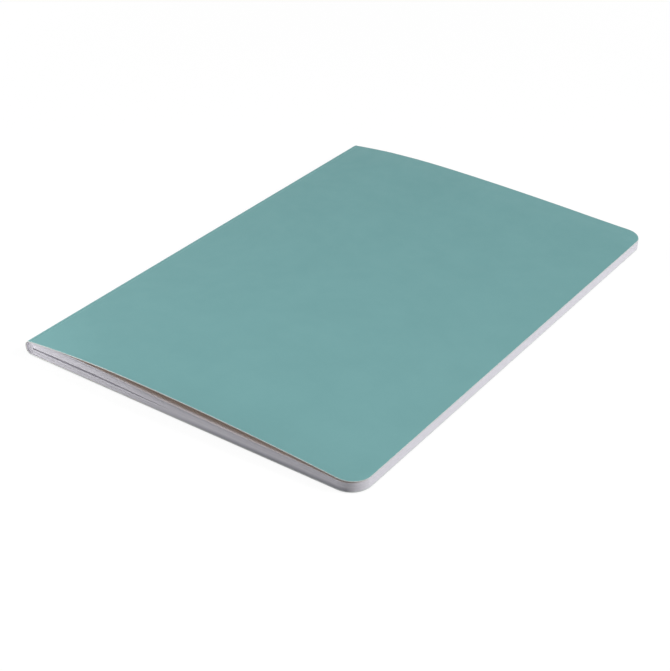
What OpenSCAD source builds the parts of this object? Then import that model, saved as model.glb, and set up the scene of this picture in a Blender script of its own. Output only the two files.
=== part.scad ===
// A thin thread-sewn notebook in a soft card cover, lying closed on its back cover.
// The origin is the middle of its footprint, on the surface that it lies on.
// The spine faces -X, the fore-edge +X, the head +Y, and the front cover is on top.
// Section outlines are drawn in X and Z, with X measured from the outer face of the spine.

/* [Format] */
// Width of the closed notebook, from the spine's face to the fore-edge
page_w = 148; // [120:1:216]
// Height of the closed notebook, from tail to head
page_h = 210; // [140:1:303]
// Radius of the two trimmed corners at the fore-edge
corner_r = 8; // [3:0.5:14]

/* [Paper] */
// Number of sheets folded once and nested into the one section
sheet_count = 20; // [14:1:28]
// Thickness of one sheet
sheet_t = 0.085; // [0.07:0.005:0.11]
// Height that the nested folds add at the spine, where they lie loosely
fold_loft = 1.7; // [1.3:0.1:2.4]
// Height of the swollen pages beside the fold, above the top of the spine
swell_rise = 1.1; // [0.5:0.1:1.4]
// Distance from the spine at which the pages start to fall from the swell
swell_start = 18; // [14:1:26]
// Distance from the spine at which they fall most steeply
swell_steep = 45; // [38:1:60]
// Distance from the spine at which the swell ends and the pages only lie loosely
swell_end = 110; // [95:1:115]
// Height of the loose pages above the pressed stack
loose_rise = 0.75; // [0.4:0.05:0.9]
// Distance from the spine at which they start down to the pressed stack at the fore-edge
press_start = 118; // [116:1:119]
// How gently the pages turn from the cover's curve into their own
ridge_soft = 0.4; // [0.1:0.1:0.6]

/* [Centre fold] */
// Distance from the spine's face to the inside of the centre fold
fold_depth = 3.9; // [3.4:0.1:4.8]
// Height of the centre fold above the middle of the spine
fold_lift = 0.3; // [0:0.05:0.35]
// Distance from the spine at which the opening in the middle of the pages starts to close
gape_start = 28; // [18:1:36]
// Distance from the spine at which its two walls would meet
gape_end = 84; // [79:1:110]
// Height of that meeting place above the middle of the pressed stack
meet_lift = 0.45; // [0.2:0.05:0.7]
// Distance from the spine at which the opening is too thin to see
gape_cut = 76; // [60:1:78]

/* [Cover] */
// Thickness of the cover card
card_t = 0.35; // [0.25:0.05:0.5]
// Outside radius of the spine's two long edges
spine_r = 2.5; // [1.5:0.1:2.7]
// Distance from the spine's face to the crease that each cover turns on
crease_x = 2.9; // [2.8:0.1:4]
// Distance from the spine to the crown of the bowed front cover
crown_x = 50; // [40:1:70]
// Height of the crown above the top of the spine
crown_rise = 2.5; // [2:0.1:3.5]

/* [Thread] */
// Diameter of the sewing thread
thread_d = 0.6; // [0.4:0.05:0.8]
// Diameter of the thread where it is pulled tight through a hole
leg_d = 0.5; // [0.3:0.05:0.6]
// Length of one stitch that the row is divided by
stitch_l = 6; // [4:0.5:9]
// Distance from the head and from the tail to the first needle hole
stitch_margin = 5; // [3:0.5:12]

/* [Clearances] */
// Gap between the pages and the inside of the front cover
cover_gap = 0.1; // [0.05:0.05:0.2]
// Gap between the back of the folds and the inside of the spine
fold_gap = 0.05; // [0.05:0.05:0.15]
// Gap between a stitch and what it lies on
stitch_gap = 0.02; // [0.02:0.01:0.08]
// Clearance above and below the thread that lies in the centre fold
fold_slack = 0.2; // [0.1:0.05:0.3]
// Gap between the thread and the wall of a needle hole
needle_gap = 0.15; // [0.05:0.05:0.2]

/* [Hidden] */
$fn = 96;

// Heights of the pressed stack, the seam in its middle and the spine
stack_t = 2 * sheet_count * sheet_t;
seam_z = card_t + stack_t / 2;
stack_z = card_t + stack_t;
spine_h = stack_t + fold_loft + 2 * card_t;
swell_z = spine_h + swell_rise;
crown_z = spine_h + crown_rise;
fore_edge_z = stack_z + cover_gap + card_t;

// The spine's outside rounding stays within its height
spine_round = min(spine_r, (spine_h - thread_d) / 2);

// The centre fold and the row of stitches along it
fold_z = spine_h / 2 + fold_lift;
thread_r = thread_d / 2;
fold_root_r = thread_r + fold_slack;
meet_z = seam_z + meet_lift;
hole_d = thread_d + 2 * needle_gap;
stitch_count = round((page_h - 2 * stitch_margin) / stitch_l);
stitch_pitch = (page_h - 2 * stitch_margin) / stitch_count;
outer_stitch_x = -stitch_gap - thread_r;
inner_stitch_x = fold_depth + stitch_gap + thread_r;
lock_x = (outer_stitch_x + inner_stitch_x) / 2;

// The stitches stand proud of the spine, and the footprint is centred with them
stitch_proud = stitch_gap + thread_d;
spine_face_x = (stitch_proud - page_w) / 2;

// Number of straight steps that a drawn curve is divided into, and a size that outlasts any cut
curve_steps = 48;
past = 1;

// A smooth S from 0 at a to 1 at b, level at both ends and steepest at m
function ease(x, a, m, b) =
    let (low = (m - a) / (b - a))
    x < m
        ? low * (1 - cos(90 * max(x - a, 0) / (m - a)))
        : low + (1 - low) * sin(90 * min(x - m, b - m) / (b - m));

// Radius of the arc that is level at its crown and falls by drop over run
function bow_radius(run, drop) = (run * run + drop * drop) / (2 * drop);

// Height of an arc with its crown at the cover's crown
function bow_z(x, radius) = crown_z - radius + sqrt(radius * radius - (x - crown_x) * (x - crown_x));

// Outside of the front cover: two arcs that meet level at the crown
function cover_z(x) =
    x < crown_x
        ? bow_z(x, bow_radius(crown_x - crease_x, crown_z - spine_h))
        : bow_z(x, bow_radius(page_w - crown_x, crown_z - fore_edge_z));

// Top of the pages: against the front cover near the spine, then down to the pressed stack
function page_top_z(x) =
    let (
        roof = cover_z(max(x, crease_x)) - card_t - cover_gap,
        loose = loose_rise * (1 - ease(x, press_start, (press_start + page_w) / 2, page_w)),
        swell = swell_z - stack_z - loose_rise,
        free = stack_z + loose + swell * (1 - ease(x, swell_start, swell_steep, swell_end)),
        near = x < crown_x ? max(ridge_soft - abs(roof - free), 0) : 0
    )
    min(roof, free) - near * near / (4 * ridge_soft);

// Wall of the opening between the two halves of the pages, from its height at the fold
function gape_z(x, root_z) =
    root_z + (meet_z - root_z) * ease(x, gape_start, (gape_start + gape_end) / 2, gape_end);

// Evenly spaced values from a to b
function steps(a, b) = [for (i = [0 : curve_steps]) a + (b - a) * i / curve_steps];

// Places of the needle holes along the spine
function hole_y(i) = -page_h / 2 + stitch_margin + i * stitch_pitch;

// An outline in X and Z, run along the whole height of the notebook
module along_spine() {
    translate([spine_face_x, 0, 0])
        rotate([90, 0, 0])
            linear_extrude(height = page_h, center = true)
                children();
}

// The closed notebook's plan, square at the spine and rounded at the fore-edge
module plan_outline() {
    square([page_w - corner_r, page_h]);
    translate([0, corner_r])
        square([page_w, page_h - 2 * corner_r]);
    for (y = [corner_r, page_h - corner_r])
        translate([page_w - corner_r, y])
            circle(r = corner_r);
}

// What is inside the trimmed plan
module trimmed() {
    intersection() {
        children();
        translate([spine_face_x, -page_h / 2, -past])
            linear_extrude(height = crown_z + 2 * past)
                plan_outline();
    }
}

// An outline that is round at its spine side and cut straight at x_end
module nose_outline(x_start, x_end, z_low, z_high, radius) {
    translate([x_start + radius, z_low])
        square([x_end - x_start - radius, z_high - z_low]);
    translate([x_start, z_low + radius])
        square([radius, z_high - z_low - 2 * radius]);
    for (z = [z_low + radius, z_high - radius])
        intersection() {
            translate([x_start + radius, z])
                circle(r = radius);
            translate([x_start, z_low])
                square([x_end - x_start, z_high - z_low]);
        }
}

// Section through the folded pages, before the opening in their middle
module page_outline() {
    nose_outline(
        card_t + fold_gap, crease_x, card_t, spine_h - card_t - cover_gap, spine_round - card_t
    );
    round_x = spine_round + fold_gap;
    top = [for (x = steps(page_w, crease_x)) [x, page_top_z(x)]];
    polygon(concat([[round_x, card_t], [page_w, card_t]], top, [[round_x, page_top_z(round_x)]]));
}

// Section through the opening that the centre fold leaves
module gape_outline() {
    root_x = fold_depth + fold_root_r;
    translate([root_x, fold_z])
        circle(r = fold_root_r);
    bottom = [for (x = steps(root_x, gape_cut)) [x, gape_z(x, fold_z - fold_root_r)]];
    top = [for (x = steps(gape_cut, root_x)) [x, gape_z(x, fold_z + fold_root_r)]];
    polygon(concat(bottom, top));
}

// Section through the bowed front cover
module front_outline() {
    inside = [for (x = steps(crease_x, page_w)) [x, cover_z(x) - card_t]];
    outside = [for (x = steps(page_w, crease_x)) [x, cover_z(x)]];
    polygon(concat(inside, outside));
}

// The row of holes that the needle makes through the spine and the folds
module needle_holes() {
    for (i = [0 : stitch_count])
        translate([spine_face_x - past, hole_y(i), fold_z])
            rotate([0, 90, 0])
                cylinder(d = hole_d, h = fold_depth + fold_root_r + past);
}

// One straight stitch with round ends, from one hole to the next
module stitch_bar(x, y) {
    half_length = stitch_pitch / 2 - leg_d / 4;
    translate([spine_face_x + x, y + stitch_pitch / 2, fold_z])
        rotate([90, 0, 0])
            rotate_extrude()
                intersection() {
                    union() {
                        square([thread_r, 2 * (half_length - thread_r)], center = true);
                        for (end = [-1, 1])
                            translate([0, end * (half_length - thread_r)])
                                circle(r = thread_r);
                    }
                    translate([0, -half_length])
                        square([thread_r, 2 * half_length]);
                }
}

// A thread: its stitches at x, and a leg in every hole as far as the place where the threads lock
module thread(x) {
    leg_start = min(x, lock_x);
    for (i = [0 : stitch_count - 1])
        stitch_bar(x, hole_y(i));
    for (i = [0 : stitch_count])
        translate([spine_face_x + leg_start, hole_y(i), fold_z])
            rotate([0, 90, 0])
                cylinder(d = leg_d, h = abs(lock_x - x));
}

// The folded sheets, nested into one section and trimmed, open a little at the centre fold
module page_block() {
    color("#F1EFF3")
        difference() {
            trimmed()
                along_spine()
                    difference() {
                        page_outline();
                        gape_outline();
                    }
            needle_holes();
        }
}

// The strip of the cover that wraps the folds, between the two creases
module cover_spine() {
    color("#7BA8A8")
        difference() {
            along_spine()
                difference() {
                    nose_outline(0, crease_x, 0, spine_h, spine_round);
                    nose_outline(card_t, crease_x + past, card_t, spine_h - card_t, spine_round - card_t);
                }
            needle_holes();
        }
}

// The front panel of the cover, bowed over the swollen pages
module front_cover() {
    color("#7BA8A8")
        trimmed()
            along_spine()
                front_outline();
}

// The back panel of the cover, flat under the pages
module back_cover() {
    color("#7BA8A8")
        trimmed()
            along_spine()
                translate([crease_x, 0])
                    square([page_w - crease_x, card_t]);
}

// The thread that shows along the spine
module needle_thread() {
    color("#F4F2EC")
        thread(outer_stitch_x);
}

// The thread that lies in the centre fold
module bobbin_thread() {
    color("#F4F2EC")
        thread(inner_stitch_x);
}

page_block();
cover_spine();
front_cover();
back_cover();
needle_thread();
bobbin_thread();
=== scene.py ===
"""A thin thread-sewn notebook: its card cover, its nested folded sheets and its stitches.

Lengths are in metres. The spine faces -X, the fore-edge +X and the head +Y. Sections are
drawn in X and Z, with X measured from the outer face of the spine.
"""

import logging
import math
import random
from dataclasses import dataclass, field
from enum import Enum
from typing import Callable, ClassVar, Sequence

import bpy
from mathutils import Color, Matrix, Vector


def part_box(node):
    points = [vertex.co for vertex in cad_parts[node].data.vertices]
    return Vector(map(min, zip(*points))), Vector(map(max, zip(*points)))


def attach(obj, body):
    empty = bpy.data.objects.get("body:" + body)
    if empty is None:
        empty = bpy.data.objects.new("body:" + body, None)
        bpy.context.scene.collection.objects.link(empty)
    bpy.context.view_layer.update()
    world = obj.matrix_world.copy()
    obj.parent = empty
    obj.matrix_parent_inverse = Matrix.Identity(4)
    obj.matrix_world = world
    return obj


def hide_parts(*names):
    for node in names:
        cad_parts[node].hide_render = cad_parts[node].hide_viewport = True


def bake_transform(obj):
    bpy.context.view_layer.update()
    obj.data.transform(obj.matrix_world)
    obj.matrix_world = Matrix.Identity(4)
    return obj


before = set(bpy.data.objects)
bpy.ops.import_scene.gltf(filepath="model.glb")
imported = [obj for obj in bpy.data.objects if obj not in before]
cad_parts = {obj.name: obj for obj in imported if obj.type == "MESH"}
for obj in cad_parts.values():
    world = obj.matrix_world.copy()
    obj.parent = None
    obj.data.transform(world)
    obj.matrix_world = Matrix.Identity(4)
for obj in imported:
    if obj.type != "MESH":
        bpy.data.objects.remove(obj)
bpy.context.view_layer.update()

MM = 0.001
LOG = logging.getLogger("notebook")

# Names of mesh data: the unfolded plan, the share of the thickness and each sheet's tone
PLAN_MAP = "plan"
THICK_GROUP = "thick"
TONE_MARK = "sheet_tone"

# The values that soft noise mostly keeps within
NOISE_RANGE = (0.3, 0.7)
QUARTER_TURN = math.pi / 2
WHITE = (1.0, 1.0, 1.0)

Triple = tuple[float, float, float]
Colour = Triple
Span = tuple[float, float]
Piece = bpy.types.Object
Material = bpy.types.Material
Socket = bpy.types.NodeSocket
Tree = bpy.types.NodeTree


class Side(Enum):
    """The two halves of the cover, named by the panel that each one carries."""

    FRONT = "front"
    BACK = "back"


class Row(Enum):
    """The two rows of stitches: along the spine and in the centre fold."""

    SPINE = "spine"
    FOLD = "fold"


def rgb(*steps: int) -> Colour:
    """Turns red, green and blue, each from 0 to 255, into linear light."""
    return tuple(Color([step / 255 for step in steps]).from_srgb_to_scene_linear())


def ease(value: float, start: float, end: float, steep: float | None = None) -> float:
    """Gives a smooth S that is level at both ends.

    Args:
        value: Where the S is read.
        start: Where it leaves 0.
        end: Where it reaches 1.
        steep: Where it is steepest, which is the middle if it isn't given.

    Returns:
        The height of the S, from 0 to 1.
    """
    steep = (start + end) / 2 if steep is None else steep
    low = (steep - start) / (end - start)
    if value < steep:
        return low * (1 - math.cos(QUARTER_TURN * max(value - start, 0.0) / (steep - start)))
    return low + (1 - low) * math.sin(QUARTER_TURN * min(value - steep, end - steep) / (end - steep))


def soft_min(first: float, second: float, soft: float) -> float:
    """Gives the lower of two values, rounded off where they differ by less than soft."""
    near = max(soft - abs(first - second), 0.0)
    return min(first, second) - near * near / (4 * soft)


def deselect_all() -> None:
    """Leaves object mode with nothing selected."""
    if bpy.context.mode != "OBJECT":
        bpy.ops.object.mode_set(mode="OBJECT")
    bpy.ops.object.select_all(action="DESELECT")


def activate(*pieces: Piece) -> None:
    """Selects these pieces alone and makes the first one active.

    Args:
        *pieces: The pieces.
    """
    deselect_all()
    for piece in pieces:
        piece.select_set(True)
    bpy.context.view_layer.objects.active = pieces[0]


def apply_modifier(piece: Piece, kind: str, **settings: object) -> None:
    """Adds a modifier to a piece, sets it up and applies it.

    Args:
        piece: The piece that it works on.
        kind: Blender's name for the kind of modifier.
        **settings: Values for the modifier's properties.
    """
    activate(piece)
    modifier = piece.modifiers.new(kind.lower(), kind)
    for name, value in settings.items():
        setattr(modifier, name, value)
    bpy.ops.object.modifier_apply(modifier=modifier.name)


def smooth_by_angle(piece: Piece, degrees: float) -> None:
    """Shades a piece smooth, apart from edges sharper than the angle."""
    activate(piece)
    bpy.ops.object.shade_smooth_by_angle(angle=math.radians(degrees))


def edit_all(piece: Piece, work: Callable[..., set[str]], **settings: object) -> None:
    """Runs one of Blender's mesh operators on the whole of a piece.

    Args:
        piece: The piece.
        work: The operator.
        **settings: Values for the operator's options.
    """
    activate(piece)
    bpy.ops.object.mode_set(mode="EDIT")
    bpy.ops.mesh.select_all(action="SELECT")
    work(**settings)
    bpy.ops.object.mode_set(mode="OBJECT")


def repeat_along_y(piece: Piece, count: int, pitch: float) -> None:
    """Repeats a piece towards the head.

    Args:
        piece: The piece.
        count: How many there are in the end.
        pitch: Distance from one to the next.
    """
    apply_modifier(
        piece,
        "ARRAY",
        count=count,
        use_relative_offset=False,
        use_constant_offset=True,
        constant_offset_displace=(0.0, pitch, 0.0),
    )


@dataclass(frozen=True)
class SectionPoint:
    """One column of a folded sheet.

    It has a place in the section at the tail, a reach to head and tail, a sag at the head and
    a thickness, or 0 where the whole sheet is equally thick.
    """

    x: float
    z: float
    reach: float
    sag: float = 0.0
    thick: float = 0.0


@dataclass(frozen=True)
class Section:
    """Sizes and curves of the closed notebook that the card and the pages share."""

    face_x: float
    page_w: float
    page_h: float
    card_t: float
    spine_h: float
    crease_x: float
    crown_z: float
    corner_r: float = 8.0 * MM
    corner_steps: int = 8
    spine_r: float = 2.5 * MM
    crown_x: float = 50.0 * MM
    sheet_count: int = 20
    sheet_t: float = 0.085 * MM
    cover_gap: float = 0.1 * MM
    fold_gap: float = 0.05 * MM
    fold_depth: float = 3.9 * MM
    fold_root_r: float = 0.5 * MM
    fold_lift: float = 0.3 * MM
    root_taper: float = 0.28
    root_end: float = 16.0 * MM
    swell_rise: float = 1.1 * MM
    swell_start: float = 18.0 * MM
    swell_steep: float = 45.0 * MM
    swell_end: float = 110.0 * MM
    loose_rise: float = 0.75 * MM
    press_start: float = 118.0 * MM
    ridge_soft: float = 0.4 * MM
    gape_start: float = 28.0 * MM
    gape_end: float = 84.0 * MM
    meet_lift: float = 0.45 * MM
    head_drop: float = 0.95 * MM
    stitch_count: int = 33
    stitch_margin: float = 5.0 * MM

    @classmethod
    def from_frame(cls) -> "Section":
        """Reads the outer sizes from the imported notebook.

        Returns:
            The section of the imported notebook.
        """
        spine_low, spine_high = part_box("cover_spine")
        page_low, page_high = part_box("page_block")
        _, front_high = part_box("front_cover")
        _, back_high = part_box("back_cover")
        return cls(
            face_x=spine_low.x,
            page_w=page_high.x - spine_low.x,
            page_h=page_high.y - page_low.y,
            card_t=back_high.z,
            spine_h=spine_high.z,
            crease_x=spine_high.x - spine_low.x,
            crown_z=front_high.z,
        )

    @property
    def stitch_pitch(self) -> float:
        """Distance from one needle hole to the next."""
        return (self.page_h - 2 * self.stitch_margin) / self.stitch_count

    @property
    def first_hole_y(self) -> float:
        """Place of the needle hole nearest to the tail."""
        return self.stitch_margin - self.page_h / 2

    @property
    def stack_t(self) -> float:
        """Thickness of the pressed pages."""
        return 2 * self.sheet_count * self.sheet_t

    @property
    def stack_z(self) -> float:
        """Top of the pressed pages at the fore-edge."""
        return self.card_t + self.stack_t

    @property
    def meet_z(self) -> float:
        """Height at which the walls of the centre fold's opening meet."""
        return self.card_t + self.stack_t / 2 + self.meet_lift

    @property
    def fold_z(self) -> float:
        """Height of the centre fold and of the stitches."""
        return self.spine_h / 2 + self.fold_lift

    @property
    def fore_edge_z(self) -> float:
        """Top of the front cover at the fore-edge."""
        return self.stack_z + self.cover_gap + self.card_t

    def bow_z(self, x: float, run: float, drop: float) -> float:
        """Gives the height at x of an arc that is level at the crown and falls by drop over run."""
        radius = (run * run + drop * drop) / (2 * drop)
        return self.crown_z - radius + math.sqrt(radius * radius - (x - self.crown_x) ** 2)

    def cover_z(self, x: float) -> float:
        """Gives the outside of the bowed front cover at a distance from the spine."""
        end_x, end_z = (self.crease_x, self.spine_h) if x < self.crown_x else (self.page_w, self.fore_edge_z)
        return self.bow_z(x, abs(self.crown_x - end_x), self.crown_z - end_z)

    def page_top_z(self, x: float) -> float:
        """Gives the top of the pages.

        Args:
            x: Distance from the spine's face.

        Returns:
            Its height: against the cover near the spine, then down to the pressed stack.
        """
        roof = self.cover_z(max(x, self.crease_x)) - self.card_t - self.cover_gap
        pressed = ease(x, self.press_start, self.page_w)
        fallen = ease(x, self.swell_start, self.swell_end, self.swell_steep)
        swell = self.spine_h + self.swell_rise - self.stack_z - self.loose_rise
        free = self.stack_z + self.loose_rise * (1 - pressed) + swell * (1 - fallen)
        return soft_min(roof, free, self.ridge_soft) if x < self.crown_x else min(roof, free)

    def gape_z(self, x: float, rise: float) -> float:
        """Gives a wall of the opening that the centre fold leaves.

        Args:
            x: Distance from the spine's face.
            rise: How far the wall starts above the middle of the fold.

        Returns:
            The wall's height, or past the opening that of the seam between the two halves.
        """
        if x < self.gape_end:
            shut = ease(x, self.gape_start, self.gape_end)
            return self.fold_z + rise + (self.meet_z - self.fold_z - rise) * shut
        meet_air = self.page_top_z(self.gape_end) - self.stack_z
        air = self.page_top_z(x) - self.stack_z
        return self.card_t + self.stack_t / 2 + self.meet_lift * air / meet_air

    def root_r(self, x: float) -> float:
        """Gives half the height of the opening, which is narrower right at the centre fold."""
        grown = ease(min(x, self.root_end), self.fold_depth, self.root_end)
        return self.fold_root_r * (1 - self.root_taper * (1 - grown))

    def reach(self, x: float) -> float:
        """Gives how far a sheet reaches towards head and tail, less at the rounded corners."""
        into_corner = max(x - (self.page_w - self.corner_r), 0.0)
        return self.page_h / 2 - self.corner_r + math.sqrt(max(self.corner_r**2 - into_corner**2, 0.0))

    def leaf_columns(self, start: float, count: int, gather: float) -> list[float]:
        """Places the columns of a leaf, closer at its start and round its trimmed corner.

        Args:
            start: Distance from the spine at which the leaf starts.
            count: Number of steps as far as the corner.
            gather: How strongly the columns gather at the start, from 1 for evenly spaced.

        Returns:
            Distances from the spine, growing, from start to the fore-edge.
        """
        corner_x = self.page_w - self.corner_r
        run = [start + (corner_x - start) * (step / count) ** gather for step in range(count)]
        turn = [
            corner_x + self.corner_r * math.sin(QUARTER_TURN * step / self.corner_steps)
            for step in range(self.corner_steps + 1)
        ]
        return run + turn

    def head_sag(self, x: float) -> float:
        """Gives how much lower the front cover lies at the head than at the tail.

        Args:
            x: Distance from the spine's face.

        Returns:
            The sag, which ends where the cover rests on the pages.
        """
        wanted = self.head_drop * ease(x, self.crease_x, self.swell_end, self.crown_x)
        room = self.cover_z(x) - self.page_top_z(x) - self.cover_gap - self.card_t
        return max(soft_min(wanted, room, self.ridge_soft), 0.0)

    def point(
        self, x: float, z: float, trim: float = 0.0, sag: float = 0.0, thick: float = 0.0
    ) -> SectionPoint:
        """Makes a column at x and z that stops short of head and tail by trim."""
        return SectionPoint(x, z, self.reach(x) - trim, sag, thick)


def run_lengths(path: Sequence[SectionPoint]) -> list[float]:
    """Measures the way along a sheet.

    Args:
        path: The columns of the sheet.

    Returns:
        The distance along the sheet from its first column to each column.
    """
    runs = [0.0]
    for before, after in zip(path, path[1:]):
        runs.append(runs[-1] + math.hypot(after.x - before.x, after.z - before.z))
    return runs


def fold_sheet(section: Section, name: str, path: Sequence[SectionPoint], rows: int) -> Piece:
    """Lays a flat grid and moves each of its columns to its place on the path.

    The grid gets a UV map with its unfolded plan: the way along the path and the way from
    tail to head, both in metres. Where the path has thicknesses, a vertex group holds them.

    Args:
        section: The notebook's section.
        name: Name of the new piece.
        path: The columns, from one end of the folded sheet to the other.
        rows: Number of faces from tail to head.

    Returns:
        The folded sheet, with no thickness yet.
    """
    steps = len(path) - 1
    deselect_all()
    bpy.ops.mesh.primitive_grid_add(
        x_subdivisions=steps, y_subdivisions=rows, size=1.0, location=(0.5, 0.0, 0.0)
    )
    piece = bpy.context.object
    piece.name = name
    bpy.ops.object.transform_apply(location=True, rotation=False, scale=False)
    runs = run_lengths(path)
    thickest = max(place.thick for place in path)
    group = piece.vertex_groups.new(name=THICK_GROUP) if thickest else None
    mesh = piece.data
    plan: list[tuple[float, float]] = []
    for vertex in mesh.vertices:
        column = round(vertex.co.x * steps)
        place = path[column]
        along = 2 * vertex.co.y * place.reach
        headward = 0.5 + along / section.page_h
        vertex.co = (section.face_x + place.x, along, place.z - place.sag * headward)
        plan.append((runs[column], along))
        if group:
            group.add([vertex.index], place.thick / thickest, "REPLACE")
    layer = mesh.uv_layers.active or mesh.uv_layers.new()
    layer.name = PLAN_MAP
    for loop in mesh.loops:
        layer.data[loop.index].uv = plan[loop.vertex_index]
    return piece


class NodeBench:
    """Adds nodes to one tree and joins them."""

    def __init__(self, tree: Tree) -> None:
        """Keeps the tree that the nodes go into."""
        self.tree = tree

    def add(self, kind: str, **settings: object) -> bpy.types.Node:
        """Adds a node and sets its properties.

        Args:
            kind: Blender's name for the kind of node.
            **settings: Values for the node's properties.

        Returns:
            The new node.
        """
        node = self.tree.nodes.new(kind)
        for name, value in settings.items():
            setattr(node, name, value)
        return node

    def feed(self, socket: Socket, value: object) -> None:
        """Joins a socket to another one, or sets its value.

        Args:
            socket: The input.
            value: An output socket, or a plain value.
        """
        if isinstance(value, Socket):
            self.tree.links.new(value, socket)
        elif isinstance(value, tuple) and socket.type == "RGBA":
            socket.default_value = (*value, 1.0)
        else:
            socket.default_value = value

    def fill(self, node: bpy.types.Node, values: dict[int | str, object]) -> None:
        """Feeds several inputs of a node, each given by its name or its number."""
        for label, value in values.items():
            self.feed(node.inputs[label], value)

    def put(
        self, kind: str, output: int | str, values: dict[int | str, object], **settings: object
    ) -> Socket:
        """Adds a node, feeds its inputs and gives one of its outputs.

        Args:
            kind: Blender's name for the kind of node.
            output: Name or number of the output.
            values: What goes into the inputs, by name or number.
            **settings: Values for the node's properties.

        Returns:
            The output.
        """
        node = self.add(kind, **settings)
        self.fill(node, values)
        return node.outputs[output]

    def math(self, operation: str, *values: object, clamp: bool = False) -> Socket:
        """Works out a value from one to three others."""
        terms = dict(enumerate(values))
        return self.put("ShaderNodeMath", 0, terms, operation=operation, use_clamp=clamp)

    def span(
        self, value: object, low: float, high: float, start: float = 0.0, end: float = 1.0
    ) -> Socket:
        """Turns a value between low and high into a smooth one between start and end."""
        ends = {"Value": value, "From Min": low, "From Max": high, "To Min": start, "To Max": end}
        return self.put("ShaderNodeMapRange", "Result", ends, interpolation_type="SMOOTHSTEP")

    def mix(self, share: object, first: object, second: object) -> Socket:
        """Mixes two colours, by socket number because other kinds of data share the names."""
        return self.put("ShaderNodeMix", 2, {0: share, 6: first, 7: second}, data_type="RGBA")

    def noise(self, vector: object, scale: object, detail: float = 3.0, rough: float = 0.5) -> Socket:
        """Gives soft noise from 0 to 1, scale being its waves to the metre."""
        waves = {"Vector": vector, "Scale": scale, "Detail": detail, "Roughness": rough}
        return self.put("ShaderNodeTexNoise", "Fac", waves)

    def stretch(self, vector: object, scale: Triple, turn: float = 0.0) -> Socket:
        """Stretches a pattern, and turns it about Z by an angle in radians."""
        change = {"Vector": vector, "Rotation": (0.0, 0.0, turn), "Scale": scale}
        return self.put("ShaderNodeMapping", "Vector", change)

    def bump(self, height: object, depth: float, strength: float) -> Socket:
        """Turns a height from 0 to 1 into a normal, depth being its full height in metres."""
        relief = {"Height": height, "Distance": depth, "Strength": strength}
        return self.put("ShaderNodeBump", "Normal", relief)

    def part(self, vector: Socket, axis: str) -> Socket:
        """Gives one part of a vector: X, Y or Z."""
        return self.put("ShaderNodeSeparateXYZ", axis, {0: vector})


def new_group(name: str, inputs: Sequence[str], outputs: Sequence[str]) -> NodeBench:
    """Starts a shader node group that turns a Vector and plain values into plain values.

    Args:
        name: Name of the group.
        inputs: Names of the inputs that follow Vector.
        outputs: Names of the outputs.

    Returns:
        A bench on the group's tree, with one Group Input and one Group Output in it.
    """
    tree = bpy.data.node_groups.new(name, "ShaderNodeTree")
    tree.interface.new_socket("Vector", in_out="INPUT", socket_type="NodeSocketVector")
    for way, labels in (("INPUT", inputs), ("OUTPUT", outputs)):
        for label in labels:
            tree.interface.new_socket(label, in_out=way, socket_type="NodeSocketFloat")
    bench = NodeBench(tree)
    bench.add("NodeGroupInput", name="in")
    bench.add("NodeGroupOutput", name="out")
    return bench


@dataclass(frozen=True)
class FibreGroup:
    """Matted fibres of paper and board, laid in two directions, with a soft cloudiness."""

    name: str = "matted fibres"
    long_scale: Triple = (0.22, 1.0, 1.0)
    turns: Span = (math.radians(24), math.radians(-67))
    fibre_detail: float = 4.0
    fibre_rough: float = 0.62
    fibre_range: Span = (0.38, 0.72)
    cloud_share: float = 0.06

    def build(self) -> Tree:
        """Builds the group.

        Returns:
            A group that turns Vector and Scale into Fibre and Cloud, both from 0 to 1.
        """
        bench = new_group(self.name, ("Scale",), ("Fibre", "Cloud"))
        start = bench.tree.nodes["in"].outputs
        layers = []
        for turn in self.turns:
            laid = bench.stretch(start["Vector"], self.long_scale, turn)
            layers.append(bench.noise(laid, start["Scale"], self.fibre_detail, self.fibre_rough))
        fibre = bench.math("MAXIMUM", *layers)
        cloud_scale = bench.math("MULTIPLY", start["Scale"], self.cloud_share)
        cloud = bench.span(bench.noise(start["Vector"], cloud_scale), *NOISE_RANGE)
        fibre = bench.span(fibre, *self.fibre_range)
        bench.fill(bench.tree.nodes["out"], {"Fibre": fibre, "Cloud": cloud})
        return bench.tree


@dataclass(frozen=True)
class TrimGroup:
    """Nearness to the trimmed edges of a sheet, read on its unfolded plan."""

    name: str = "trimmed edge"
    ragged_scale: float = 900.0
    ragged_detail: float = 2.0
    ragged_width: Span = (0.55, 1.25)

    def build(self) -> Tree:
        """Builds the group.

        Returns:
            A group whose Edge is 1 on the edge and 0 at Width inside it, broken up by noise.
        """
        bench = new_group(self.name, ("Length", "Half Height", "Corner", "Width"), ("Edge",))
        start = bench.tree.nodes["in"].outputs
        plan, corner = start["Vector"], start["Corner"]
        straight = bench.math("SUBTRACT", start["Length"], corner)
        across = bench.math("MAXIMUM", bench.math("SUBTRACT", bench.part(plan, "X"), straight), 0.0)
        side = bench.math("ABSOLUTE", bench.part(plan, "Y"))
        level = bench.math("SUBTRACT", start["Half Height"], corner)
        along = bench.math("MAXIMUM", bench.math("SUBTRACT", side, level), 0.0)
        squares = bench.math("ADD", bench.math("POWER", across, 2.0), bench.math("POWER", along, 2.0))
        inside = bench.math("SUBTRACT", corner, bench.math("SQRT", squares))
        ragged = bench.noise(plan, self.ragged_scale, self.ragged_detail)
        wander = bench.span(ragged, *NOISE_RANGE, *self.ragged_width)
        width = bench.math("MULTIPLY", start["Width"], wander)
        edge = bench.math("SUBTRACT", 1.0, bench.math("DIVIDE", inside, width), clamp=True)
        bench.fill(bench.tree.nodes["out"], {"Edge": edge})
        return bench.tree


@dataclass(frozen=True)
class Surface:
    """A finish's range of roughness, its relief, its gloss and the flecks in its fibres."""

    rough: Span
    relief_depth: float
    relief_strength: float
    gloss: float
    fleck_start: float = 1.0
    fleck_share: float = 0.0


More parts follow.
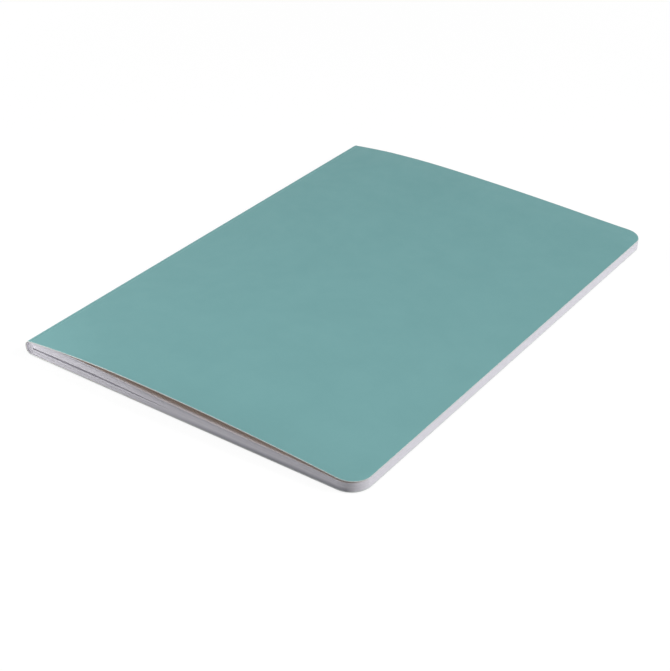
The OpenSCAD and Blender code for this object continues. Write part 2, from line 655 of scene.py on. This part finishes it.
@dataclass
class Finish:
    """What every finish shares: its surface, a name, the groups, and one Principled shader."""

    surface: ClassVar[Surface]
    name: str
    groups: dict[str, Tree]
    bench: NodeBench = field(init=False)
    shader: bpy.types.Node = field(init=False)

    def build(self) -> Material:
        """Makes the material and dresses its shader.

        Returns:
            The material.
        """
        material = bpy.data.materials.new(self.name)
        material.use_nodes = True
        self.bench = NodeBench(material.node_tree)
        self.shader = material.node_tree.nodes["Principled BSDF"]
        self.dress()
        return material

    def dress(self) -> None:
        """Feeds the shader, in each finish's own way."""
        raise NotImplementedError

    def plan(self) -> Socket:
        """Gives the place on the unfolded plan, in metres."""
        return self.bench.add("ShaderNodeUVMap", uv_map=PLAN_MAP).outputs["UV"]

    def spot(self) -> Socket:
        """Gives the place in the object, in metres."""
        return self.bench.add("ShaderNodeTexCoord").outputs["Object"]

    def use(self, group: str, **values: object) -> bpy.types.bpy_prop_collection:
        """Places a group and feeds it.

        Args:
            group: The group's name in groups.
            **values: Values or sockets for its inputs, with underscores for spaces.

        Returns:
            The outputs of the placed group.
        """
        node = self.bench.add("ShaderNodeGroup", node_tree=self.groups[group])
        self.bench.fill(node, {name.replace("_", " "): value for name, value in values.items()})
        return node.outputs

    def fleck(self, colour: Socket, fibre: Socket, tint: Colour) -> Socket:
        """Tints the longest fibres.

        Args:
            colour: The colour so far.
            fibre: The fibres, from 0 to 1.
            tint: The flecks' colour.

        Returns:
            The colour with its flecks.
        """
        flecks = self.bench.span(fibre, self.surface.fleck_start, 1.0)
        share = self.bench.math("MULTIPLY", flecks, self.surface.fleck_share)
        return self.bench.mix(share, colour, tint)

    def coat(self, colour: Socket, grain: Socket, height: Socket, grain_range: Span = (0.0, 1.0)) -> None:
        """Feeds the shader with a colour and with the finish's own roughness, relief and gloss.

        Args:
            colour: The colour.
            grain: What the roughness follows.
            height: The relief, from 0 to 1.
            grain_range: The values of grain at which the roughness is least and most.
        """
        bench, surface = self.bench, self.surface
        values = {
            "Base Color": colour,
            "Roughness": bench.span(grain, *grain_range, *surface.rough),
            "Normal": bench.bump(height, surface.relief_depth, surface.relief_strength),
            "Specular IOR Level": surface.gloss,
        }
        bench.fill(self.shader, values)


@dataclass
class PrintedCard(Finish):
    """The outside of the cover: an even teal print on fine card, paler where it is creased."""

    surface: ClassVar[Surface] = Surface((0.6, 0.67), 0.012 * MM, 0.26, 0.22, 0.72, 0.1)
    section: Section
    length: float
    crease_run: float
    teal: Colour = rgb(112, 159, 160)
    deep_teal: Colour = rgb(110, 157, 158)
    worn_teal: Colour = rgb(140, 182, 182)
    pale_core: Colour = rgb(206, 212, 211)
    fibre_scale: float = 2600.0
    mottle_scale: float = 42.0
    mottle_detail: float = 4.0
    mottle_rough: float = 0.55
    mottle_range: Span = (0.32, 0.68)
    crease_w: float = 0.45 * MM
    crease_share: float = 0.42
    crack_scale: float = 1400.0
    crack_range: Span = (0.35, 0.65)
    crack_least: float = 0.35
    edge_w: float = 0.28 * MM
    edge_share: float = 0.75

    def dress(self) -> None:
        """Lays the print, and wears it along the crease and the trimmed edges."""
        bench = self.bench
        plan = self.plan()
        fibre = self.use("fibre", Vector=plan, Scale=self.fibre_scale)
        mottle = bench.noise(plan, self.mottle_scale, self.mottle_detail, self.mottle_rough)
        colour = bench.mix(bench.span(mottle, *self.mottle_range), self.deep_teal, self.teal)
        colour = self.fleck(colour, fibre["Fibre"], self.worn_teal)
        colour = bench.mix(self.crease_mask(plan), colour, self.worn_teal)
        trim = self.use(
            "trim",
            Vector=plan,
            Length=self.length,
            Half_Height=self.section.page_h / 2,
            Corner=self.section.corner_r,
            Width=self.edge_w,
        )
        worn = bench.math("MULTIPLY", trim["Edge"], self.edge_share)
        self.coat(bench.mix(worn, colour, self.pale_core), fibre["Cloud"], fibre["Fibre"])

    def crease_mask(self, plan: Socket) -> Socket:
        """Gives a mask along the scored crease, where the print has cracked a little.

        Args:
            plan: The place on the unfolded plan.

        Returns:
            A mask from 0 to the crease's share.
        """
        bench = self.bench
        off = bench.math("ABSOLUTE", bench.math("SUBTRACT", bench.part(plan, "X"), self.crease_run))
        line = bench.span(off, 0.0, self.crease_w, self.crease_share, 0.0)
        cracks = bench.noise(plan, self.crack_scale)
        broken = bench.span(cracks, *self.crack_range, self.crack_least, 1.0)
        return bench.math("MULTIPLY", line, broken)


@dataclass
class KraftCard(Finish):
    """The inside of the cover: unprinted brown card with darker clouds and paler fibres."""

    surface: ClassVar[Surface] = Surface((0.78, 0.92), 0.02 * MM, 0.5, 0.25, 0.55, 0.3)
    brown: Colour = rgb(235, 199, 158)
    dark_brown: Colour = rgb(228, 190, 147)
    pale_brown: Colour = rgb(241, 213, 180)
    fibre_scale: float = 2200.0

    def dress(self) -> None:
        """Clouds the brown and picks out its longest fibres."""
        fibre = self.use("fibre", Vector=self.plan(), Scale=self.fibre_scale)
        brown = self.bench.mix(fibre["Cloud"], self.dark_brown, self.brown)
        self.coat(self.fleck(brown, fibre["Fibre"], self.pale_brown), fibre["Fibre"], fibre["Fibre"])


@dataclass
class CardCore(Finish):
    """The cut edge of the card: a pale core, a little rough from the knife."""

    surface: ClassVar[Surface] = Surface((0.8, 0.92), 0.02 * MM, 0.6, 0.25)
    pale: Colour = rgb(228, 232, 230)
    grey: Colour = rgb(206, 212, 211)
    fibre_scale: float = 5200.0

    def dress(self) -> None:
        """Mixes the greys along the fibres."""
        fibre = self.use("fibre", Vector=self.spot(), Scale=self.fibre_scale)
        self.coat(self.bench.mix(fibre["Fibre"], self.grey, self.pale), fibre["Cloud"], fibre["Fibre"])


@dataclass
class PagePaper(Finish):
    """The sheets: smooth white writing paper, each sheet a touch lighter or darker.

    The trimmed edges at head and tail carry painted shade low down, away from the spine: a grey that darkens
    them towards the table.
    """

    surface: ClassVar[Surface] = Surface((0.7, 0.8), 0.008 * MM, 0.4, 0.3, 0.7, 0.12)
    section: Section
    white: Colour = rgb(236, 234, 240)
    shade: Colour = rgb(224, 222, 230)
    dust: Colour = rgb(205, 202, 208)
    # Painted shade: a grey laid low on the trimmed edges at head and tail, darkening them towards the table.
    painted_shade: Colour = rgb(160, 162, 172)
    fibre_scale: float = 2100.0
    painted_shade_share: float = 0.75
    painted_shade_depth: float = 0.5 * MM
    painted_shade_reach: float = 2.0 * MM
    painted_shade_top: float = 2.3 * MM
    painted_shade_low: float = 0.5 * MM
    painted_shade_start: float = 35.0 * MM
    painted_shade_end: float = 100.0 * MM

    def dress(self) -> None:
        """Tones each sheet, flecks it and paints shade low on its trimmed edges."""
        bench = self.bench
        spot = self.spot()
        fibre = self.use("fibre", Vector=spot, Scale=self.fibre_scale)
        tone = bench.add("ShaderNodeAttribute", attribute_name=TONE_MARK).outputs["Fac"]
        colour = self.fleck(bench.mix(tone, self.shade, self.white), fibre["Fibre"], self.dust)
        # Paints shade low on the trimmed edges at head and tail, darker towards the table.
        colour = bench.mix(self.painted_shade_mask(spot), colour, self.painted_shade)
        self.coat(colour, fibre["Cloud"], fibre["Fibre"])

    def painted_shade_mask(self, spot: Socket) -> Socket:
        """Gives a mask for the painted shade low on the trimmed edges at head and tail.

        Args:
            spot: The place in the object.

        Returns:
            A mask from 0 to the painted shade's share.
        """
        bench = self.bench
        section = self.section
        half_h = section.page_h / 2
        side = bench.math("ABSOLUTE", bench.part(spot, "Y"))
        trimmed = bench.span(side, half_h - self.painted_shade_reach, half_h - self.painted_shade_depth)
        low = bench.span(bench.part(spot, "Z"), self.painted_shade_top, self.painted_shade_low)
        start, end = section.face_x + self.painted_shade_start, section.face_x + self.painted_shade_end
        outer = bench.span(bench.part(spot, "X"), start, end, 0.0, self.painted_shade_share)
        return bench.math("MULTIPLY", bench.math("MULTIPLY", trimmed, low), outer)


@dataclass
class SewingThread(Finish):
    """The thread: white twisted cotton, with painted shade between its fine strands."""

    surface: ClassVar[Surface] = Surface((0.72, 0.88), 0.03 * MM, 0.5, 0.3)
    white: Colour = rgb(240, 238, 231)
    # Painted shade: the grey laid between the thread's fine strands.
    shade: Colour = rgb(203, 199, 190)
    strand_stretch: Triple = (1.0, 0.35, 1.0)
    strand_scale: float = 9000.0
    strand_rough: float = 0.6
    strand_range: Span = (0.35, 0.65)
    fuzz_scale: float = 3100.0
    fuzz_detail: float = 2.0
    sheen: float = 0.2

    def dress(self) -> None:
        """Paints shade between the thread's strands, whose mask also gives the thread its relief."""
        bench = self.bench
        spot = self.spot()
        laid = bench.stretch(spot, self.strand_stretch)
        strand = bench.noise(laid, self.strand_scale, rough=self.strand_rough)
        strand_shade_and_relief = bench.span(strand, *self.strand_range)
        fuzz = bench.noise(spot, self.fuzz_scale, self.fuzz_detail)
        # The strands' mask paints shade between them and is also the height of their relief.
        self.coat(bench.mix(strand_shade_and_relief, self.shade, self.white), fuzz, strand_shade_and_relief, NOISE_RANGE)
        bench.fill(self.shader, {"Sheen Weight": self.sheen})


@dataclass
class CardCover:
    """The one folded sheet of card, made as two halves that meet under the spine's stitches."""

    section: Section
    groups: dict[str, Tree]
    rows: int = 12
    round_steps: int = 14
    crease_steps: int = 12
    crease_half: float = 0.6 * MM
    score_depth: float = 0.06 * MM
    score_half: float = 0.28 * MM
    panel_steps: int = 44
    panel_gather: float = 1.35
    bend_half: float = 0.5 * MM
    sharp_angle: float = 35.0
    edge_bevel: float = 0.05 * MM
    bevel_steps: int = 2
    seam_near: float = 0.01 * MM
    inside_slot: int = 1
    rim_slot: int = 2
    hole_r: float = 0.36 * MM
    hole_sides: int = 16
    pin_cards: float = 3.0

    def outside_z(self, side: Side, x: float) -> float:
        """Gives the outer face of a half from the crease on, with the shallow score.

        Args:
            side: Which half.
            x: Distance from the spine's face.

        Returns:
            Its height.
        """
        section = self.section
        score = self.score_depth * math.exp(-(((x - section.crease_x) / self.score_half) ** 2))
        if side is Side.BACK:
            return score
        rise = section.cover_z(x) if x > section.crease_x else section.spine_h
        return rise - score

    def path(self, side: Side) -> list[SectionPoint]:
        """Draws the outer face of one half, from the row of stitches to the fore-edge.

        Args:
            side: Which half.

        Returns:
            The columns of the half.
        """
        section = self.section
        radius = section.spine_r
        centre_z = section.spine_h - radius if side is Side.FRONT else radius
        rise = 1 if side is Side.FRONT else -1
        points = [section.point(0.0, section.fold_z)]
        for step in range(self.round_steps + 1):
            angle = QUARTER_TURN * step / self.round_steps
            x = radius - radius * math.cos(angle)
            points.append(section.point(x, centre_z + rise * radius * math.sin(angle)))
        crease_start = section.crease_x - self.crease_half
        points = [point for point in points if point.x < crease_start]
        for step in range(self.crease_steps + 1):
            x = crease_start + 2 * self.crease_half * step / self.crease_steps
            z = self.outside_z(side, x)
            if x < radius:
                z += -rise * (radius - math.sqrt(radius**2 - (radius - x) ** 2))
            points.append(section.point(x, z))
        panel_start = section.crease_x + self.crease_half
        for x in section.leaf_columns(panel_start, self.panel_steps, self.panel_gather)[1:]:
            sag = section.head_sag(x) if side is Side.FRONT else 0.0
            points.append(section.point(x, self.outside_z(side, x), sag=sag))
        return points

    def build_cutter(self, core: Material) -> Piece:
        """Makes the row of round pins that cut the needle holes.

        Args:
            core: The finish of the cut walls.

        Returns:
            The pins, to be taken away when the holes are cut.
        """
        section = self.section
        deselect_all()
        bpy.ops.mesh.primitive_cylinder_add(
            vertices=self.hole_sides,
            radius=self.hole_r,
            depth=self.pin_cards * section.card_t,
            location=(section.face_x, section.first_hole_y, section.fold_z),
            rotation=(0.0, QUARTER_TURN, 0.0),
        )
        cutter = bpy.context.object
        bpy.ops.object.transform_apply()
        cutter.data.materials.append(core)
        repeat_along_y(cutter, section.stitch_count + 1, section.stitch_pitch)
        return cutter

    def bevel_cut_edges(self, piece: Piece) -> None:
        """Rounds the card's cut edges slightly, apart from the seam under the stitches.

        Args:
            piece: One half of the cover, with its thickness.
        """
        section = self.section
        inner_x = section.face_x + section.card_t + self.seam_near
        mesh = piece.data
        faces_at: dict[tuple[int, int], list[int]] = {}
        for face in mesh.polygons:
            for key in face.edge_keys:
                faces_at.setdefault(key, []).append(face.material_index)
        activate(piece)
        bpy.ops.object.mode_set(mode="EDIT")
        bpy.ops.mesh.select_mode(type="EDGE")
        bpy.ops.mesh.select_all(action="DESELECT")
        bpy.ops.object.mode_set(mode="OBJECT")
        for edge in mesh.edges:
            found = faces_at[tuple(sorted(edge.vertices))]
            ends = [mesh.vertices[index].co for index in edge.vertices]
            at_seam = all(
                abs(end.z - section.fold_z) < self.seam_near and end.x < inner_x for end in ends
            )
            edge.select = self.rim_slot in found and min(found) < self.rim_slot and not at_seam
        bpy.ops.object.mode_set(mode="EDIT")
        bpy.ops.mesh.bevel(
            offset=self.edge_bevel,
            segments=self.bevel_steps,
            profile=0.5,
            clamp_overlap=True,
            material=self.rim_slot,
        )
        bpy.ops.object.mode_set(mode="OBJECT")

    def build(self) -> list[Piece]:
        """Makes both halves and cuts their needle holes.

        Returns:
            The front half and the back half.
        """
        core = CardCore("card_core", self.groups).build()
        inside = KraftCard("card_inside", self.groups).build()
        cutter = self.build_cutter(core)
        halves = [self.build_half(side, inside, core, cutter) for side in Side]
        bpy.data.objects.remove(cutter)
        return halves

    def build_half(self, side: Side, inside: Material, core: Material, cutter: Piece) -> Piece:
        """Makes one half of the cover.

        Args:
            side: Which half.
            inside: The finish of the card's inside.
            core: The finish of its cut edges.
            cutter: The pins that cut the needle holes.

        Returns:
            The half, with its holes and its bend.
        """
        section = self.section
        path = self.path(side)
        runs = run_lengths(path)
        crease = min(range(len(path)), key=lambda column: abs(path[column].x - section.crease_x))
        finish = PrintedCard(f"{side.value}_card_print", self.groups, section, runs[-1], runs[crease])
        printed = finish.build()
        half = fold_sheet(section, f"{side.value}_card", path, self.rows)
        if side is Side.BACK:
            edit_all(half, bpy.ops.mesh.flip_normals)
        for material in (printed, inside, core):
            half.data.materials.append(material)
        apply_modifier(
            half,
            "SOLIDIFY",
            thickness=section.card_t,
            offset=-1.0,
            use_even_offset=True,
            use_rim=True,
            material_offset=self.inside_slot,
            material_offset_rim=self.rim_slot,
        )
        self.bevel_cut_edges(half)
        apply_modifier(
            half,
            "BOOLEAN",
            operation="DIFFERENCE",
            object=cutter,
            solver="EXACT",
            material_mode="TRANSFER",
        )
        smooth_by_angle(half, self.sharp_angle)
        self.hinge(half, side)
        return half

    def hinge(self, piece: Piece, side: Side) -> None:
        """Bakes a half's placement into its mesh and hides the imported cover pieces that it stands in for.

        Args:
            piece: The half.
            side: Which half it is.
        """
        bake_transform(piece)
        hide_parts(f"{side.value}_cover", "cover_spine")


@dataclass
class FoldedPages:
    """The section of sheets, each folded once and nested into the one outside it."""

    section: Section
    groups: dict[str, Tree]
    seed: int = 11
    rows: int = 4
    leaf_steps: int = 26
    leaf_gather: float = 1.5
    sharp_angle: float = 40.0
    fold_steps: int = 12
    sheet_share: float = 0.92
    lowest_gap: float = 0.05
    least_gap: float = 0.02
    gap_contrast: float = 2.0
    wave_fill: float = 0.85
    wave_start: float = 22.0 * MM
    wave_end: float = 80.0 * MM
    gap_outward: float = 1.5
    outer_square: float = 2.3
    trim_play: float = 0.035 * MM
    edge_inset: float = 0.02 * MM

    def gap_shares(self, draw: random.Random, first: float) -> list[float]:
        """Shares the air between the leaves out, in a few wider gaps and many thin ones.

        Args:
            draw: The source of random numbers.
            first: Share of the air between the cover and the outermost leaf.

        Returns:
            For each sheet from the outside in, the share of the air that lies outside it.
        """
        count = self.section.sheet_count
        gaps = []
        for index in range(count - 1):
            outward = 1 - index / (count - 1)
            wide = draw.random() ** self.gap_contrast * outward**self.gap_outward
            gaps.append(self.least_gap + wide)
        total = sum(gaps)
        shares = [first]
        for gap in gaps:
            shares.append(shares[-1] + (1 - first) * gap / total)
        return shares

    def air(self, side: Side, x: float) -> float:
        """Gives the air between the leaves of one half at a distance from the spine.

        Args:
            side: The half of the pages: that at the front cover or that at the back.
            x: Distance from the spine's face.

        Returns:
            The height of all gaps together.
        """
        section = self.section
        paper = section.stack_t / 2
        root_r = section.root_r(x)
        if side is Side.FRONT:
            return max(section.page_top_z(x) - section.gape_z(x, root_r) - paper, 0.0)
        return max(section.gape_z(x, -root_r) - section.card_t - paper, 0.0)

    def thick_shares(self, shares: Sequence[float]) -> list[float]:
        """Gives the share of the air that each sheet fills, because paper lies a little wavy.

        Args:
            shares: For each sheet, the share of the air that lies outside it.

        Returns:
            For each sheet, a share no wider than the narrower of the two gaps beside it.
        """
        edges = [0.0, *shares, 1.0]
        steps = [after - before for before, after in zip(edges, edges[1:])]
        return [self.wave_fill * min(pair) for pair in zip(steps, steps[1:])]

    def leaf_z(self, side: Side, x: float, depth: float, share: float) -> float:
        """Gives a leaf's height, with this depth of paper and share of the air outside it."""
        inward = depth + self.air(side, x) * share
        return self.section.page_top_z(x) - inward if side is Side.FRONT else self.section.card_t + inward

    def sheet_path(
        self, index: int, upper: float, lower: float, fill: float, trim: float
    ) -> list[SectionPoint]:
        """Draws one folded sheet from its lower fore-edge round the fold to its upper one.

        Args:
            index: The sheet, 0 being the outermost.
            upper: Share of the air outside its upper leaf and its fold.
            lower: Share of the air outside its lower leaf.
            fill: Share of the upper half's air that the sheet's waves fill.
            trim: How far its edges lie inside the trimmed outline.

        Returns:
            The columns of the sheet.
        """
        section = self.section
        depth = (index + 0.5) * section.sheet_t
        fold_x = section.card_t + section.fold_gap
        fold_air = section.fold_depth - fold_x - section.stack_t / 2
        left = fold_x + depth + fold_air * upper
        round_r = section.spine_r - section.card_t
        guess = left + round_r
        guess_top = self.leaf_z(Side.FRONT, guess, depth, upper)
        guess_low = self.leaf_z(Side.BACK, guess, depth, lower)
        radius = min((guess_top - guess_low) / 2, round_r)
        start = left + radius
        top = self.leaf_z(Side.FRONT, start, depth, upper)
        low = self.leaf_z(Side.BACK, start, depth, lower)
        middle, half = (top + low) / 2, (top - low) / 2
        columns = section.leaf_columns(start, self.leaf_steps, self.leaf_gather)
        columns[-1] -= trim
        inward = index / section.sheet_count
        plain = section.sheet_t * self.sheet_share
        lower_leaf = []
        for x in reversed(columns):
            z = self.leaf_z(Side.BACK, x, depth, lower)
            lower_leaf.append(section.point(x, z, trim, thick=plain))
        power = 2 / (self.outer_square + (2 - self.outer_square) * inward)
        turn = []
        for step in range(1, self.fold_steps):
            angle = math.pi * step / self.fold_steps
            x = start - radius * math.sin(angle) ** power
            rise = math.copysign(abs(math.cos(angle)) ** power, math.cos(angle))
            thick = plain + fill * self.air(Side.FRONT, start) * step / self.fold_steps
            turn.append(section.point(x, middle - half * rise, trim, thick=thick))
        upper_leaf = []
        for x in columns:
            z = self.leaf_z(Side.FRONT, x, depth, upper)
            wavy = 1 - ease(x, self.wave_start, self.wave_end)
            thick = plain + fill * self.air(Side.FRONT, x) * wavy
            upper_leaf.append(section.point(x, z, trim, thick=thick))
        return lower_leaf + turn + upper_leaf

    def build(self) -> Piece:
        """Folds all sheets, nests them and joins them into one piece.

        Returns:
            The sewn pages.
        """
        section = self.section
        draw = random.Random(self.seed)
        upper_shares = self.gap_shares(draw, 0.0)
        lower_shares = self.gap_shares(draw, self.lowest_gap)
        fills = self.thick_shares(upper_shares)
        sheets = []
        for index in range(section.sheet_count):
            trim = self.edge_inset + self.trim_play * draw.random()
            shares = upper_shares[index], lower_shares[index], fills[index]
            path = self.sheet_path(index, *shares, trim)
            sheet = fold_sheet(section, f"sheet_{index + 1:02d}", path, self.rows)
            apply_modifier(
                sheet,
                "SOLIDIFY",
                thickness=max(place.thick for place in path),
                vertex_group=THICK_GROUP,
                offset=0.0,
                use_even_offset=True,
                use_rim=True,
            )
            tone = sheet.data.attributes.new(TONE_MARK, "FLOAT", "POINT")
            level = draw.random()
            tone.data.foreach_set("value", [level] * len(sheet.data.vertices))
            sheets.append(sheet)
        activate(*sheets)
        bpy.ops.object.join()
        pages = bpy.context.object
        pages.name = "sewn_pages"
        pages.data.materials.append(PagePaper("page_paper_white", self.groups, section).build())
        smooth_by_angle(pages, self.sharp_angle)
        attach(pages, "text_block")
        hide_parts("page_block")
        return pages


@dataclass
class StitchRow:
    """One of the two rows of stitches: three twisted plies that dip into every hole."""

    section: Section
    row: Row
    finish: Material
    stitch_gap: float = 0.02 * MM
    thread_r: float = 0.3 * MM
    ply_count: int = 3
    ply_r: float = 0.145 * MM
    ply_rounding: int = 1
    lay: float = 1.5 * MM
    turn_r: float = 0.32 * MM
    leg: float = 0.75 * MM
    leg_off: float = 0.15 * MM
    ring_step: float = 0.16 * MM
    sharp_angle: float = 50.0

    @property
    def arc(self) -> float:
        """Length of the thread's turn from a hole onto the surface."""
        return QUARTER_TURN * self.turn_r

    @property
    def total(self) -> float:
        """Length of the thread from deep in one hole to deep in the next."""
        return 2 * (self.leg + self.arc) + self.section.stitch_pitch - 2 * (self.leg_off + self.turn_r)

    def place_at(self, run: float) -> tuple[Vector, Vector]:
        """Follows one stitch from deep in a hole, along the surface, into the next hole.

        Args:
            run: Distance along the thread from its first end.

        Returns:
            The place, as depth in X and way in Y from the first hole, and the direction.
        """
        back = run > self.total / 2
        way = self.total - run if back else run
        if way < self.leg:
            place = Vector((self.turn_r + self.leg - way, self.leg_off, 0.0))
            heading = Vector((-1.0, 0.0, 0.0))
        elif way < self.leg + self.arc:
            angle = (way - self.leg) / self.turn_r
            depth = self.turn_r * (1 - math.sin(angle))
            place = Vector((depth, self.leg_off + self.turn_r * (1 - math.cos(angle)), 0.0))
            heading = Vector((-math.cos(angle), math.sin(angle), 0.0))
        else:
            place = Vector((0.0, self.leg_off + self.turn_r + way - self.leg - self.arc, 0.0))
            heading = Vector((0.0, 1.0, 0.0))
        if back:
            place.y = self.section.stitch_pitch - place.y
            heading.x = -heading.x
        return place, heading

    def ply_points(self, ply: int) -> list[Vector]:
        """Winds one ply round the stitch's middle line.

        Args:
            ply: Which ply, counted from 0.

        Returns:
            The points of the ply, from the first hole to the second.
        """
        rings = math.ceil(self.total / self.ring_step)
        away = self.thread_r - self.ply_r
        points = []
        for ring in range(rings + 1):
            run = self.total * ring / rings
            place, heading = self.place_at(run)
            side = heading.cross(Vector((0.0, 0.0, 1.0)))
            angle = math.tau * (run / self.lay + ply / self.ply_count)
            off = math.cos(angle) * side + Vector((0.0, 0.0, math.sin(angle)))
            points.append(place + away * off)
        return points

    def build(self) -> Piece:
        """Twists one stitch, lays copies of it end to end and dresses them.

        Returns:
            The row of stitches.
        """
        section = self.section
        outside = self.row is Row.SPINE
        inward = 1.0 if outside else -1.0
        proud = self.stitch_gap + self.thread_r
        surface = section.face_x - proud if outside else section.face_x + section.fold_depth + proud
        name = f"{self.row.value}_stitches"
        curve = bpy.data.curves.new(name, "CURVE")
        curve.dimensions = "3D"
        curve.bevel_depth = self.ply_r
        curve.bevel_resolution = self.ply_rounding
        curve.use_fill_caps = True
        for ply in range(self.ply_count):
            points = self.ply_points(ply)
            spline = curve.splines.new("POLY")
            spline.points.add(len(points) - 1)
            for target, point in zip(spline.points, points):
                x, z = surface + inward * point.x, section.fold_z + point.z
                target.co = (x, point.y + section.first_hole_y, z, 1.0)
        strand = bpy.data.objects.new(name, curve)
        bpy.context.scene.collection.objects.link(strand)
        activate(strand)
        bpy.ops.object.convert(target="MESH")
        stitches = bpy.context.object
        repeat_along_y(stitches, section.stitch_count, section.stitch_pitch)
        edit_all(stitches, bpy.ops.mesh.normals_make_consistent, inside=False)
        stitches.data.materials.clear()
        stitches.data.materials.append(self.finish)
        smooth_by_angle(stitches, self.sharp_angle)
        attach(stitches, "text_block")
        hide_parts("needle_thread" if outside else "bobbin_thread")
        return stitches


@dataclass(frozen=True)
class Lamp:
    """A square soft lamp: its place, the point that it faces, its side and its watts."""

    name: str
    place: Triple
    target: Triple
    size: float
    power: float


@dataclass
class Studio:
    """A plain white table under soft light, with a camera at the photograph's angle."""

    aim: Vector = field(default_factory=lambda: Vector((11.6, -29.2, 0.0)) * MM)
    distance: float = 547.3 * MM
    azimuth: float = 35.38
    elevation: float = 31.94
    roll: float = 0.11
    focal_px: float = 1460.35
    frame_px: float = 671.0
    sensor_w: float = 36.0
    clip_start: float = 10.0 * MM
    floor_size: float = 8.0
    floor_drop: float = 0.5 * MM
    sky: float = 0.2
    floor_grey: float = 0.3
    seen_grey: float = 0.13
    near_glow: float = 0.89
    far_glow: float = 0.98
    glow_start: float = 0.25
    glow_end: float = 1.2
    lamps: tuple[Lamp, ...] = (
        Lamp("key_softbox", (1.47, 0.72, 1.13), (0.0, 0.0, 0.0), 0.6, 31.0),
        Lamp("top_softbox", (0.05, -0.17, 0.34), (0.0, 0.0, 0.0), 0.2, 0.45),
        Lamp("spine_softbox", (-0.94, -0.14, 0.17), (0.0, 0.0, 0.0), 0.28, 5.2),
        Lamp("tail_softbox", (-0.13, -0.19, 0.021), (-0.06, -0.1, 0.0), 0.03, 0.076),
    )

    def build_camera(self) -> None:
        """Sets the camera where the photograph was taken from."""
        around, up = math.radians(self.azimuth), math.radians(self.elevation)
        back = Vector((math.sin(around) * math.cos(up), -math.cos(around) * math.cos(up), math.sin(up)))
        data = bpy.data.cameras.new("camera")
        data.sensor_width = self.sensor_w
        data.lens = self.sensor_w * self.focal_px / self.frame_px
        data.clip_start = self.clip_start
        camera = bpy.data.objects.new("camera", data)
        bpy.context.scene.collection.objects.link(camera)
        camera.location = self.aim + back * self.distance
        turned = back.to_track_quat("Z", "Y").to_matrix().to_4x4()
        camera.rotation_euler = (turned @ Matrix.Rotation(math.radians(self.roll), 4, "Z")).to_euler()
        bpy.context.scene.camera = camera

    def build_lamp(self, lamp: Lamp) -> None:
        """Hangs a lamp.

        Args:
            lamp: The lamp's place, aim, size and power.
        """
        data = bpy.data.lights.new(lamp.name, "AREA")
        data.shape = "SQUARE"
        data.size = lamp.size
        data.energy = lamp.power
        body = bpy.data.objects.new(lamp.name, data)
        bpy.context.scene.collection.objects.link(body)
        body.location = lamp.place
        away = Vector(lamp.place) - Vector(lamp.target)
        body.rotation_euler = away.to_track_quat("Z", "Y").to_euler()
        body.visible_camera = False

    def build_floor(self) -> None:
        """Lays the white table, which keeps the notebook's shadow."""
        deselect_all()
        bpy.ops.mesh.primitive_plane_add(size=self.floor_size, location=(0.0, 0.0, -self.floor_drop))
        floor = bpy.context.object
        floor.name = "table_top"
        bpy.ops.object.transform_apply()
        material = bpy.data.materials.new("white_table")
        material.use_nodes = True
        bench = NodeBench(material.node_tree)
        seen = self.seen(bench)
        greys = [(level, level, level) for level in (self.floor_grey, self.seen_grey)]
        spot = bench.add("ShaderNodeTexCoord").outputs["Object"]
        away = bench.put("ShaderNodeVectorMath", "Value", {0: spot}, operation="LENGTH")
        glow = bench.span(away, self.glow_start, self.glow_end, self.near_glow, self.far_glow)
        surface = {
            "Base Color": bench.mix(seen, *greys),
            "Roughness": 1.0,
            "Specular IOR Level": 0.0,
            "Emission Color": WHITE,
            "Emission Strength": bench.math("MULTIPLY", seen, glow),
        }
        bench.fill(material.node_tree.nodes["Principled BSDF"], surface)
        floor.data.materials.append(material)

    def seen(self, bench: NodeBench) -> Socket:
        """Tells what the camera sees from what only lights the notebook.

        Args:
            bench: The bench of the tree that asks.

        Returns:
            1 for what is seen straight, in a gloss or through something clear, and otherwise 0.
        """
        path = bench.add("ShaderNodeLightPath").outputs
        straight = bench.math("MAXIMUM", path["Is Camera Ray"], path["Is Glossy Ray"])
        return bench.math("MAXIMUM", straight, path["Is Transmission Ray"])

    def build_sky(self) -> None:
        """Makes the even white surroundings, dimmer as light than they look."""
        world = bpy.data.worlds.new("white_room")
        bpy.context.scene.world = world
        world.use_nodes = True
        bench = NodeBench(world.node_tree)
        strength = bench.math("MAXIMUM", self.seen(bench), self.sky)
        bench.fill(world.node_tree.nodes["Background"], {"Color": WHITE, "Strength": strength})

    def build(self) -> None:
        """Sets up the camera, the lamps, the floor and the surroundings."""
        self.build_camera()
        self.build_floor()
        self.build_sky()
        for lamp in self.lamps:
            self.build_lamp(lamp)


def main() -> None:
    """Builds the notebook and its studio in order, and reports each piece."""
    logging.basicConfig(level=logging.INFO, format="%(message)s")
    bpy.context.scene.view_settings.view_transform = "Standard"
    section = Section.from_frame()
    groups = {"fibre": FibreGroup().build(), "trim": TrimGroup().build()}
    Studio().build()
    pieces = [FoldedPages(section, groups).build()]
    pieces += CardCover(section, groups).build()
    thread = SewingThread("cotton_thread", groups).build()
    pieces += [StitchRow(section, row, thread).build() for row in Row]
    for piece in pieces:
        LOG.info("%s: %d faces", piece.name, len(piece.data.polygons))


if __name__ == "__main__":
    main()
